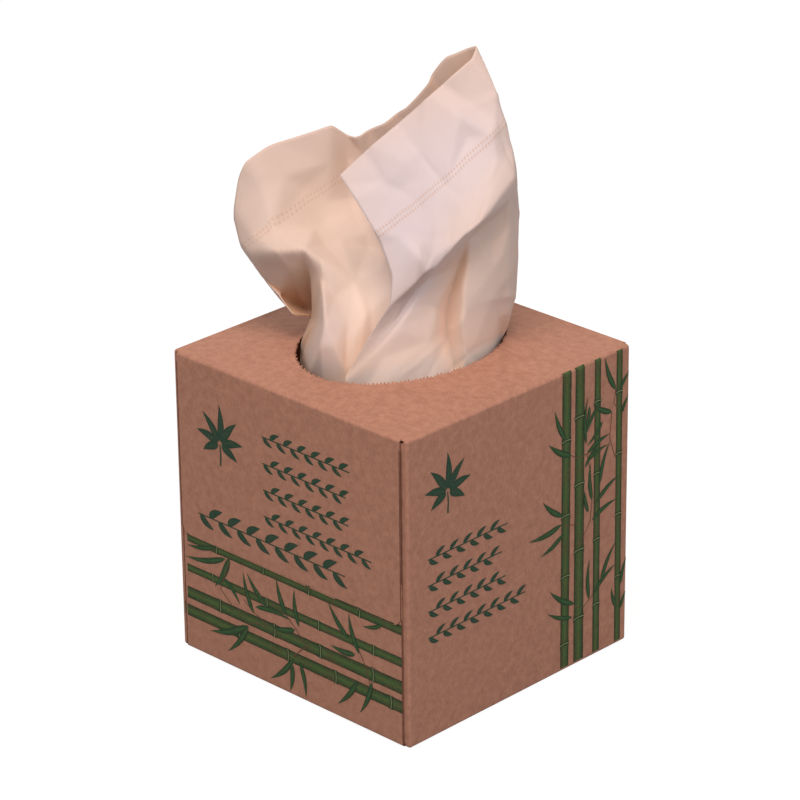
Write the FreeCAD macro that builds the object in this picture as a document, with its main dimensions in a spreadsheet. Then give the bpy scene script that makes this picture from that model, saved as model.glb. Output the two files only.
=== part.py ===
import FreeCAD, Part
import math
import os

# A cube tissue box: one folded kraft carton, the clip of tissues bent over inside it,
# the sheet that stands out of the oval opening and the next sheet behind it.
# Millimetres. +Z is up, the origin is under the middle of the carton, the glued ends face -Y and +Y.

doc = FreeCAD.newDocument("tissue_box")
sheet = doc.addObject("Spreadsheet::Sheet", "sizes")

SIZES = (
    ("box_width", 115.0, "carton across its side panels"),
    ("box_depth", 115.0, "carton across its glued ends"),
    ("box_height", 117.0, "carton from the table to the top folds"),
    ("board", 0.5, "thickness of the kraft board"),
    ("fold_radius", 1.2, "outside radius of a folded edge"),
    ("dome_rise", 4.0, "how far the pushed-up top panel would rise at its middle"),
    ("dome_foot", 0.3, "how far under the top face the dome starts"),
    ("opening_width", 66.0, "oval opening across the box"),
    ("opening_length", 84.0, "oval opening between the ends"),
    ("upper_flap_drop", 70.5, "length of the outermost end flap, down from the top folds"),
    ("lower_flap_rise", 65.0, "length of the inner end flap, up from the base"),
    ("flap_inset", 2.9, "from the carton's side to an end flap's edge"),
    ("flap_corner", 4.4, "radius of an end flap's free corners"),
    ("flap_root", 6.0, "how far an end flap's fold reaches on to its panel"),
    ("dust_flap_split", 12.0, "space between the two dust flaps of one end"),
    ("dust_flap_relief", 1.0, "space above and below a dust flap"),
    ("glue_tab", 12.0, "width of the tab that closes the tube"),
    ("glue_tab_relief", 6.0, "how much shorter the tab is than the tube, at each end"),
    ("tissue_side", 200.0, "side of a tissue when it is flat"),
    ("clip_end_gap", 5.5, "from each end of the carton to the edge of the folded clip of tissues"),
    ("clip_thickness", 32.0, "thickness of the clip"),
    ("clip_clearance", 1.0, "between the clip and each side panel"),
    ("tissue_thickness", 0.6, "thickness of a puffed tissue of four plies"),
    ("lay_gap", 0.8, "from the clip to the middle of a tissue that lies on it"),
    ("view_turn", 44.5, "degrees from +X to the direction that the tissue's points call across"),
)

# The raised tissue as a net of points: rows from the leading edge down, columns along the leading edge.
# Each point is millimetres (across, toward, up) from the middle of the top panel's folds,
# across and toward being level, turned from +X by view_turn.
RAISED_ABOVE = (
    # leading edge: turned-over corner, peak, back, left lobe and its curled tip
    ((-21, 9, 68), (-9, 4, 78), (4, 0, 87), (18, -5, 99), (31, -10, 108), (22, -17, 106), (9, -22, 89),
     (-2, -27, 75), (-22, -28, 72), (-40, -24, 71), (-58, -12, 68), (-59, -14, 36), (-40, -18, 17)),
    # crimped line
    ((-7, 18, 49), (3, 14, 57), (14, 10, 64), (23, 6, 72), (38, 0, 87), (36, -14, 82), (21, -24, 65),
     (4, -28, 54), (-19, -27, 53), (-35, -18, 46), (-48, -6, 41), (-52, 4, 36), (-42, 2, 22)),
    # above the turned-over corner's fold
    ((-2, 26, 36), (8, 27, 45), (19, 23, 54), (30, 18, 62), (42, 6, 72), (40, -12, 65), (23, -26, 47),
     (5, -28, 39), (-16, -24, 38), (-32, -10, 38), (-40, 2, 40), (-41, 6, 34), (-37, 4, 21)),
    # the fold's lip, which overhangs the front, and the lobe's lip
    ((-3, 30, 29), (8, 34, 39), (17, 35, 48), (32, 28, 61), (43, 10, 67), (42, -10, 58), (24, -26, 35),
     (7, -26, 30), (-14, -18, 34), (-29, -2, 37), (-32, 4, 36), (-36, 6, 29), (-35, 1, 17)),
    # under the lip
    ((-7, 28, 23), (5, 24, 32), (15, 16, 40), (28, 10, 51), (41, 2, 57), (42, -8, 52), (25, -24, 31),
     (8, -22, 26), (-12, -10, 32), (-27, 4, 34), (-29, 1, 29), (-32, 2, 22), (-30, -8, 13)),
    # the front's valley and ridge
    ((-13, 32, 14), (-3, 31, 22), (15, 15, 29), (27, 22, 45), (41, 3, 41), (43, -8, 35), (26, -22, 20),
     (10, -16, 19), (-10, 0, 24), (-27, 14, 25), (-28, 7, 19), (-31, 1, 12), (-27, -12, 7)),
    ((-20, 33, 7), (-8, 33, 10), (15, 16, 14), (26, 24, 25), (40, 3, 23), (42, -8, 18), (27, -20, 7),
     (11, -8, 10), (-10, 18, 14), (-26, 26, 13), (-29, 18, 7), (-34, 5, 3), (-33, -7, 0)),
    # in the opening
    ((-20, 34, -3), (-4, 34, -3), (16, 20, -2), (27, 17, -2), (35, 1, -1), (35, -12, -2), (22, -12, -3),
     (6, 0, -4), (-10, 22, -4), (-23, 31, -4), (-30, 25, -4), (-33, 10, -6), (-30, -4, -7)),
    ((-17, 28, -15), (-4, 29, -15), (13, 18, -15), (23, 15, -15), (30, 1, -14), (31, -10, -14), (19, -11, -15),
     (5, -2, -16), (-9, 17, -16), (-20, 25, -16), (-26, 20, -16), (-28, 8, -17), (-26, -4, -17)),
)
# Where a tissue lies on the clip: (distance round the arch from its crown towards +X, along Y, lift).
RAISED_ON_CLIP = (
    ((22, -38, 0), (30, -26, 0), (33, -10, 0), (34, 6, 0), (29, 22, 0), (20, 29, 0), (11, 24, 0),
     (6, 6, 0), (9, -17, 0), (5, -33, 0), (-5, -37, 0), (-15, -32, 0), (-21, -20, 0)),
)
# The next tissue, drawn into the back of the opening, in the same two kinds of point.
NEXT_ABOVE = (
    ((-24, -15, 0), (-20, -15, 2), (-17, -22, -1), (-10, -19, 1), (-6, -25, -2), (2, -21, 1), (6, -26, 0),
     (14, -22, 2), (18, -25, -1)),
    ((-25, -16, -12), (-21, -16, -11), (-17, -22, -12), (-11, -20, -12), (-6, -24, -12), (1, -22, -11),
     (6, -25, -12), (13, -22, -11), (18, -24, -12)),
)
NEXT_ON_CLIP = (
    ((-31, -8, 1), (-28, 0, 1), (-28, 6, 1), (-22, 10, 1), (-21, 18, 1), (-14, 20, 1), (-12, 28, 1),
     (-5, 29, 1), (-2, 36, 1)),
    ((-46, -14, 0), (-44, -2, 0), (-42, 8, 0), (-38, 16, 0), (-34, 24, 0), (-28, 31, 0), (-21, 37, 0),
     (-12, 42, 0), (-4, 47, 0)),
)


def fill_sheet():
    """Writes the driving dimensions, one to a row, with their names as aliases."""
    for row, (alias, value, note) in enumerate(SIZES, start=1):
        sheet.set(f"A{row}", alias)
        sheet.set(f"B{row}", str(value))
        sheet.setAlias(f"B{row}", alias)
        sheet.set(f"C{row}", note)
    doc.recompute()


def size(alias):
    """The value of one driving dimension."""
    return float(sheet.get(alias))


def block(name, lengths, corner):
    """A box whose sizes and low corner are formulas of the sheet."""
    made = doc.addObject("Part::Box", name)
    for side, formula in zip(("Length", "Width", "Height"), lengths):
        made.setExpression(side, formula)
    for axis, formula in zip("xyz", corner):
        made.setExpression("Placement.Base." + axis, formula)
    doc.recompute()
    return made


def vault(name, radius, length, middle_height):
    """The upper half of a cylinder along Y, with its axis at a height above the table."""
    made = doc.addObject("Part::Cylinder", name)
    made.Angle = 180
    made.setExpression("Radius", radius)
    made.setExpression("Height", length)
    made.Placement = FreeCAD.Placement(FreeCAD.Vector(), FreeCAD.Rotation(FreeCAD.Vector(1, 0, 0), 90))
    made.setExpression("Placement.Base.y", f"({length}) / 2")
    made.setExpression("Placement.Base.z", middle_height)
    doc.recompute()
    return made


def rounded(name, base, radius, wanted=None):
    """Rounds the edges of base for which wanted(edge) is true, or all of them."""
    made = doc.addObject("Part::Fillet", name)
    made.Base = base
    chosen = [n for n, edge in enumerate(base.Shape.Edges, start=1) if wanted is None or wanted(edge)]
    made.Edges = [(n, radius, radius) for n in chosen]
    doc.recompute()
    return made


def cut(name, base, tool):
    """base without tool."""
    made = doc.addObject("Part::Cut", name)
    made.Base = base
    made.Tool = tool
    doc.recompute()
    return made


def fused(name, pieces):
    """The pieces as one solid."""
    made = doc.addObject("Part::MultiFuse", name)
    made.Shapes = pieces
    made.Refine = True
    doc.recompute()
    return made


def mirrored(name, source):
    """The same piece at the other end of the carton."""
    made = doc.addObject("Part::Mirroring", name)
    made.Source = source
    made.Normal = FreeCAD.Vector(0, 1, 0)
    doc.recompute()
    return made


def runs_along(axis, height=None):
    """A test for straight edges along one axis, at one height if that is given."""

    def test(edge):
        along = [abs(getattr(edge.Vertexes[-1], c) - getattr(edge.Vertexes[0], c)) for c in "XYZ"]
        straight = along["XYZ".index(axis)] > 0.99 * edge.Length
        return straight and (height is None or abs(edge.CenterOfMass.z - height) < 0.001)

    return test


def dome(name, half_width, half_depth, foot):
    """A shallow pillow on a rectangle: straight at its four edges and highest in the middle."""
    rise = size("dome_rise") + size("dome_foot")
    crown = patch(half_width, half_depth, foot, 4 * rise)
    floor = patch(half_width, half_depth, foot - size("board"), 0)
    made = doc.addObject("Part::Feature", name)
    made.Shape = solid_between(crown, floor)
    return made


def patch(half_width, half_depth, foot, middle_lift):
    """A quadratic patch on a rectangle at one height, with its middle pole lifted."""
    surface = Part.BezierSurface()
    surface.increase(2, 2)
    for i, x in enumerate((-half_width, 0, half_width), start=1):
        for j, y in enumerate((-half_depth, 0, half_depth), start=1):
            lift = middle_lift if i == 2 and j == 2 else 0
            surface.setPole(i, j, FreeCAD.Vector(x, y, foot + lift))
    return surface


def solid_between(front, back):
    """A closed solid from two surfaces of the same kind, with ruled sides between their edges."""
    sides = [Part.makeRuledSurface(a, b, 1) for a, b in zip(border(front), border(back))]
    shell = Part.Shell([front.toShape(), back.toShape()] + sides)
    shell.sewShape()
    solid = Part.Solid(shell)
    if solid.Volume < 0:
        solid.reverse()
    return solid


def border(surface):
    """The four edges of a surface, each running the same way on any surface of its kind."""
    first_u, last_u, first_v, last_v = surface.bounds()
    curves = [surface.uIso(first_u), surface.uIso(last_u), surface.vIso(first_v), surface.vIso(last_v)]
    return [curve.toShape() for curve in curves]


def end_flap(name, low, high, outside, fold_height, free_height):
    """One end flap with the fold that joins it to its panel, at the -Y end.

    low and high are its heights, outside is its outer face's distance from the middle.
    """
    length = "sizes.box_width - 2 * sizes.flap_inset"
    left = "-(sizes.box_width / 2 - sizes.flap_inset)"
    root = "sizes.flap_root"
    body = block(name + "_block", (length, root, f"{high} - ({low})"), (left, f"-({outside})", low))
    bent = rounded(name + "_bend", body, size("fold_radius"), lambda e: on_fold(e, fold_height))
    hollow_low = f"{low} + sizes.board" if fold_height < free_height else f"{low} - sizes.board"
    hollow = block(
        name + "_hollow",
        (f"{length} + 2", root, f"{high} - ({low})"),
        (f"{left} - 1", f"-({outside}) + sizes.board", hollow_low),
    )
    inner_fold = fold_height + (size("board") if fold_height < free_height else -size("board"))
    hollow_bent = rounded(
        name + "_hollow_bend", hollow, size("fold_radius") - size("board"), lambda e: on_fold(e, inner_fold)
    )
    flap = cut(name + "_flap", bent, hollow_bent)
    return rounded(name, flap, size("flap_corner"), runs_along("Y", free_height))


def on_fold(edge, height):
    """True for the outer edge along X at a fold's height."""
    outermost = edge.CenterOfMass.y < -(size("box_depth") / 2 - 2.5 * size("board"))
    return runs_along("X", height)(edge) and outermost


def oval(name):
    """A vertical rod of oval section that cuts the opening."""
    rim = doc.addObject("Part::Ellipse", name + "_rim")
    rim.setExpression("MajorRadius", "sizes.opening_length / 2")
    rim.setExpression("MinorRadius", "sizes.opening_width / 2")
    rim.Placement = FreeCAD.Placement(FreeCAD.Vector(), FreeCAD.Rotation(FreeCAD.Vector(0, 0, 1), 90))
    rim.setExpression("Placement.Base.z", "sizes.box_height / 2")
    made = doc.addObject("Part::Extrusion", name)
    made.Base = rim
    made.Dir = FreeCAD.Vector(0, 0, 1)
    made.DirMode = "Custom"
    made.setExpression("LengthFwd", "sizes.box_height")
    made.Solid = True
    doc.recompute()
    return made


def build_carton():
    """The folded blank: tube, dust flaps, glue tab, end flaps, domed top and oval opening."""
    board = "sizes.board"
    tube_half_depth = "(sizes.box_depth / 2 - 2 * sizes.board)"
    outer = block(
        "tube_outside",
        ("sizes.box_width", f"2 * {tube_half_depth}", "sizes.box_height"),
        ("-sizes.box_width / 2", f"-{tube_half_depth}", "0"),
    )
    inner = block(
        "tube_inside",
        (f"sizes.box_width - 2 * {board}", f"2 * {tube_half_depth} - 2 * {board}", f"sizes.box_height - 2 * {board}"),
        (f"-sizes.box_width / 2 + {board}", f"-{tube_half_depth} + {board}", board),
    )
    tube_outside = rounded("tube_outside_folds", outer, size("fold_radius"))
    tube_inside = rounded("tube_inside_folds", inner, size("fold_radius") - size("board"))

    half_width = size("box_width") / 2 - size("fold_radius")
    half_depth = size("box_depth") / 2 - size("fold_radius")
    foot = size("box_height") - size("dome_foot")
    dome_top = dome("dome_top", half_width, half_depth, foot)
    dome_under = dome("dome_under", half_width, half_depth, foot - size("board"))

    outside_flap = "sizes.box_depth / 2"
    inside_flap = "sizes.box_depth / 2 - sizes.board"
    height, drop, rise = size("box_height"), size("upper_flap_drop"), size("lower_flap_rise")
    upper = end_flap(
        "upper_flap", "sizes.box_height - sizes.upper_flap_drop", "sizes.box_height", outside_flap, height, height - drop
    )
    lower = end_flap("lower_flap", "0", "sizes.lower_flap_rise", inside_flap, 0, rise)

    hollow = fused("hollow", [tube_inside, dome_under])
    walls = cut("walls", fused("solid_tube", [tube_outside, dome_top]), hollow)
    opened = cut("dust_flaps", walls, fused("dust_flap_gaps", dust_flap_gaps(tube_half_depth)))
    tab = block(
        "glue_tab_strip",
        (board, f"2 * ({tube_half_depth} - sizes.glue_tab_relief)", "sizes.glue_tab"),
        (f"-sizes.box_width / 2 + {board}", f"-({tube_half_depth} - sizes.glue_tab_relief)", board),
    )
    flaps = [upper, lower, mirrored("upper_flap_back", upper), mirrored("lower_flap_back", lower)]
    folded = fused("folded_blank", [opened, tab] + flaps)
    return cut("carton", folded, oval("opening"))


def dust_flap_gaps(tube_half_depth):
    """The spaces round the dust flaps of both ends, as blocks to take out of the end walls."""
    gaps = []
    inside_width = "sizes.box_width - 2 * (sizes.fold_radius + sizes.board)"
    inside_height = "sizes.box_height - 2 * sizes.board"
    relief = "sizes.dust_flap_relief"
    for end, low_y in (("front", f"-{tube_half_depth}"), ("back", f"{tube_half_depth} - sizes.board")):
        split = block(
            f"dust_flap_split_{end}",
            ("sizes.dust_flap_split", "sizes.board", inside_height),
            ("-sizes.dust_flap_split / 2", low_y, "sizes.board"),
        )
        below = block(
            f"dust_flap_foot_{end}",
            (inside_width, "sizes.board", relief),
            (f"-({inside_width}) / 2", low_y, "sizes.board"),
        )
        above = block(
            f"dust_flap_head_{end}",
            (inside_width, "sizes.board", relief),
            (f"-({inside_width}) / 2", low_y, f"sizes.box_height - sizes.board - {relief}"),
        )
        gaps += [split, below, above]
    return gaps


def build_stack():
    """The clip of interfolded tissues, bent over in an arch that stands on the base panel."""
    outside = "(sizes.box_width / 2 - sizes.board - sizes.clip_clearance)"
    wide = "(sizes.box_depth - 2 * sizes.clip_end_gap)"
    inside = f"({outside} - sizes.clip_thickness)"
    leg = f"((sizes.tissue_side - pi * ({outside} - sizes.clip_thickness / 2)) / 2)"
    spring = f"{leg} + sizes.board"
    arch_outside = fused(
        "arch_outside",
        [
            vault("arch_crown", outside, wide, spring),
            block(
                "arch_legs",
                (f"2 * {outside}", wide, leg),
                (f"-{outside}", f"-{wide} / 2", "sizes.board"),
            ),
        ],
    )
    arch_inside = fused(
        "arch_inside",
        [
            vault("arch_hollow", inside, f"{wide} + 2", spring),
            block(
                "arch_gap",
                (f"2 * {inside}", f"{wide} + 2", f"{leg} + 2"),
                (f"-{inside}", f"-{wide} / 2 - 1", "sizes.board - 2"),
            ),
        ],
    )
    return cut("tissue_stack", arch_outside, arch_inside)


def turned(across, toward, up):
    """A point of the tissue in the part's own frame."""
    turn = math.radians(size("view_turn"))
    x = across * math.cos(turn) + toward * math.sin(turn)
    y = across * math.sin(turn) - toward * math.cos(turn)
    return FreeCAD.Vector(x, y, size("box_height") + up)


def on_clip(around, along, lift):
    """A point above the clip's arch, measured round the arch from its crown."""
    outside = size("box_width") / 2 - size("board") - size("clip_clearance")
    leg = (size("tissue_side") - math.pi * (outside - size("clip_thickness") / 2)) / 2
    angle = around / outside
    radius = outside + size("lay_gap") + lift
    return FreeCAD.Vector(radius * math.sin(angle), along, size("board") + leg + radius * math.cos(angle))


def net_of(above, below):
    """The net's points as vectors, the rows above the clip first."""
    return [[turned(*p) for p in row] for row in above] + [[on_clip(*p) for p in row] for row in below]


def offset_net(net, distance):
    """The net moved along its own normals."""
    moved = []
    last_row, last_column = len(net) - 1, len(net[0]) - 1
    for i, row in enumerate(net):
        moved.append([])
        for j, point in enumerate(row):
            down = net[min(i + 1, last_row)][j] - net[max(i - 1, 0)][j]
            along = row[min(j + 1, last_column)] - row[max(j - 1, 0)]
            normal = down.cross(along)
            moved[-1].append(point + normal * (distance / normal.Length))
    return moved


def spline_surface(net):
    """A smooth surface over a net, cubic both ways."""
    rows, columns = len(net), len(net[0])
    surface = Part.BSplineSurface()
    surface.buildFromPolesMultsKnots(net, ends(rows), ends(columns), spans(rows), spans(columns), False, False, 3, 3)
    return surface


def ends(poles):
    """Knot multiplicities of a clamped cubic over that many poles."""
    return [4] + [1] * (poles - 4) + [4]


def spans(poles):
    """Even knots of a clamped cubic over that many poles."""
    return [float(k) for k in range(poles - 2)]


def build_tissue(name, above, below):
    """A tissue as a thin closed solid between two offset surfaces."""
    net = net_of(above, below)
    half = size("tissue_thickness") / 2
    made = doc.addObject("Part::Feature", name)
    made.Shape = solid_between(spline_surface(offset_net(net, half)), spline_surface(offset_net(net, -half)))
    return made


def write_parts(nodes):
    """Checks every object and every node, then writes one STEP file a node."""
    doc.recompute()
    for made in doc.Objects:
        if "Invalid" in made.State or "Error" in made.State:
            raise RuntimeError(f"{made.Name} did not compute: {made.State}")
    os.makedirs("parts", exist_ok=True)
    for label, made in nodes.items():
        shape = made.Shape
        if shape.isNull() or not shape.isValid() or len(shape.Solids) != 1:
            raise RuntimeError(f"{label} is not one valid solid")
        made.Label = label
        shape.exportStep(f"parts/{label}.step")
        box = shape.BoundBox
        print(f"{label}: {shape.Volume / 1000:.2f} cm3, z {box.ZMin:.2f} to {box.ZMax:.2f}, faces {len(shape.Faces)}")


fill_sheet()
write_parts(
    {
        "carton": build_carton(),
        "tissue_stack": build_stack(),
        "raised_tissue": build_tissue("raised_tissue", RAISED_ABOVE, RAISED_ON_CLIP),
        "next_tissue": build_tissue("next_tissue", NEXT_ABOVE, NEXT_ON_CLIP),
    }
)
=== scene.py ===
"""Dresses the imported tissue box: kraft carton with its print and torn opening, clip of tissues, two drawn-out sheets.

Everything is in metres in the part's own frame: +Z up, the glued end with the long print faces -Y, the side with
the upright canes faces +X, and the origin is under the middle of the carton.
"""

import logging
import math
from dataclasses import dataclass
from enum import Enum
from typing import Any, Iterable, Optional, Sequence

import bpy
import numpy as np
from mathutils import Matrix, Vector
from mathutils.bvhtree import BVHTree
from mathutils.geometry import delaunay_2d_cdt


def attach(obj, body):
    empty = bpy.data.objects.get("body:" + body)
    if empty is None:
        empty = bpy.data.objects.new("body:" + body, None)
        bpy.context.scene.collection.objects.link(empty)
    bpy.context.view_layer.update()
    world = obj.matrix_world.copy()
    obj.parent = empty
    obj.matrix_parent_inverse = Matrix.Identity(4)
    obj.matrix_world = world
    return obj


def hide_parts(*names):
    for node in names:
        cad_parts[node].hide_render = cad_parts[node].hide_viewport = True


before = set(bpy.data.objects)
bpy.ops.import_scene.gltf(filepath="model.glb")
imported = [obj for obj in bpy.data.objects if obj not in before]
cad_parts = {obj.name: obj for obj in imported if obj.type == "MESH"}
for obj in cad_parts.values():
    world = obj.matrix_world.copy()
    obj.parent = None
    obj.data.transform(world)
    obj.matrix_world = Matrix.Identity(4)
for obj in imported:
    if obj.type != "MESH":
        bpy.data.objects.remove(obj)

MM = 0.001
LOG = logging.getLogger("tissue_box")
Pair = tuple[float, float]
Triple = tuple[float, float, float]
Shape = tuple[np.ndarray, list[tuple[int, ...]], np.ndarray]


# ---------------------------------------------------------------- helpers


def linear(hex_colour: str) -> tuple[float, float, float, float]:
    """Turns an sRGB hex colour into linear RGBA.

    Args:
        hex_colour: six hex digits, with or without a leading #.

    Returns:
        The colour as Blender's shaders take it, with alpha 1.
    """
    digits = hex_colour.lstrip("#")
    channels = [int(digits[i : i + 2], 16) / 255 for i in (0, 2, 4)]
    r, g, b = (c / 12.92 if c <= 0.04045 else ((c + 0.055) / 1.055) ** 2.4 for c in channels)
    return (r, g, b, 1.0)


def add_node(
    owner: bpy.types.ID, kind: str, inputs: Optional[dict[Any, Any]] = None, **settings: Any
) -> bpy.types.Node:
    """Adds a node with its settings and links.

    Args:
        owner: the material, or world, whose tree takes the node.
        kind: the node's type name.
        inputs: what each input takes, by name or index: a plain value, a node's output, or a node, which stands
            for its first output.
        settings: attributes to set on the node.

    Returns:
        The new node.
    """
    tree = owner.node_tree
    node = tree.nodes.new(kind)
    for name, value in settings.items():
        setattr(node, name, value)
    for key, value in (inputs or {}).items():
        source = value.outputs[0] if isinstance(value, bpy.types.Node) else value
        if isinstance(source, bpy.types.NodeSocket):
            tree.links.new(source, node.inputs[key])
        else:
            node.inputs[key].default_value = source
    return node


def new_material(name: str) -> bpy.types.Material:
    """Makes an empty node material."""
    material = bpy.data.materials.new(name)
    material.use_nodes = True
    material.node_tree.nodes.clear()
    return material


def add_object(name: str, data: bpy.types.ID) -> bpy.types.Object:
    """Adds an object with its data to the scene."""
    added = bpy.data.objects.new(name, data)
    bpy.context.scene.collection.objects.link(added)
    return added


def new_piece(
    name: str, points: np.ndarray, faces: Sequence[Sequence[int]], material: bpy.types.Material,
    uvs: Optional[np.ndarray] = None, smooth: bool = True,
) -> bpy.types.Object:
    """Makes a mesh object that rides on the part.

    Args:
        name: the piece's name.
        points: N by 3 places in metres.
        faces: corner indices of each face.
        material: its finish.
        uvs: N by 2 texture places, one to a point.
        smooth: whether its faces are shaded smooth.

    Returns:
        The linked object.
    """
    mesh = bpy.data.meshes.new(name)
    mesh.from_pydata([tuple(p) for p in points], [], [tuple(f) for f in faces])
    if uvs is not None:
        layer = mesh.uv_layers.new(name="UVMap")
        corners = np.zeros(len(mesh.loops), dtype=np.int32)
        mesh.loops.foreach_get("vertex_index", corners)
        layer.data.foreach_set("uv", uvs[corners].astype(np.float32).ravel())
    mesh.polygons.foreach_set("use_smooth", [smooth] * len(mesh.polygons))
    mesh.materials.append(material)
    mesh.update()
    piece = add_object(name, mesh)
    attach(piece, "root")
    return piece


def grid_faces(rows: int, columns: int, start: int = 0) -> list[tuple[int, int, int, int]]:
    """Quads of a grid of points, row by row.

    Args:
        rows: points down.
        columns: points across.
        start: index of the first point.

    Returns:
        The corner indices of each quad.
    """
    return [
        (
            start + i * columns + j,
            start + (i + 1) * columns + j,
            start + (i + 1) * columns + j + 1,
            start + i * columns + j + 1,
        )
        for i in range(rows - 1)
        for j in range(columns - 1)
    ]


def apply_modifiers(piece: bpy.types.Object) -> None:
    """Puts the result of a piece's modifiers into its mesh."""
    evaluated = piece.evaluated_get(bpy.context.evaluated_depsgraph_get())
    mesh = bpy.data.meshes.new_from_object(evaluated)
    piece.modifiers.clear()
    piece.data = mesh


# ---------------------------------------------------------------- finishes


@dataclass(frozen=True)
class KraftBoard:
    """Unbleached kraft board, calendered: matt brown with pressed-in fibres and cloudy formation."""

    name: str = "kraft_board_calendered"
    dark: str = "#A3735D"
    light: str = "#B4826A"
    fleck: str = "#6E4536"
    pale: str = "#CFA088"
    fibre_mm: float = 0.5
    cloud_mm: float = 3.0
    pressed_mm: float = 0.12
    roughness: float = 0.82

    def make(self) -> bpy.types.Material:
        """Builds the material."""
        m = new_material(self.name)
        place = add_node(m, "ShaderNodeTexCoord").outputs["Object"]
        clouds = add_node(m, "ShaderNodeTexNoise", {
            "Vector": place, "Scale": 1 / (self.cloud_mm * MM), "Detail": 5.0, "Roughness": 0.62})
        # single fibres are 0.03 mm wide; they are drawn as wide as a pixel of the picture
        stretched = add_node(m, "ShaderNodeMapping", {"Vector": place, "Scale": (1.0, 1.0, 0.3)})
        fibres = add_node(m, "ShaderNodeTexNoise", {
            "Vector": stretched, "Scale": 1 / (self.fibre_mm * MM), "Detail": 3.0, "Roughness": 0.7})
        tone = add_node(m, "ShaderNodeMapRange", {"Value": clouds, "From Min": 0.34, "From Max": 0.66})
        colour = add_node(
            m, "ShaderNodeMix", {0: tone, 6: linear(self.dark), 7: linear(self.light)}, data_type="RGBA")
        for start, end, most, tint in ((0.42, 0.2, 0.8, self.fleck), (0.56, 0.8, 0.55, self.pale)):
            grain = add_node(
                m, "ShaderNodeMapRange", {"Value": fibres, "From Min": start, "From Max": end, "To Max": most})
            colour = add_node(
                m, "ShaderNodeMix", {0: grain, 6: colour.outputs[2], 7: linear(tint)}, data_type="RGBA")
        bump = add_node(m, "ShaderNodeBump", {"Height": fibres, "Strength": 0.35, "Distance": self.pressed_mm * MM})
        shader = add_node(m, "ShaderNodeBsdfPrincipled", {
            "Base Color": colour.outputs[2], "Normal": bump,
            "Roughness": self.roughness, "IOR": 1.47, "Specular IOR Level": 0.35})
        add_node(m, "ShaderNodeOutputMaterial", {"Surface": shader})
        return m


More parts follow.
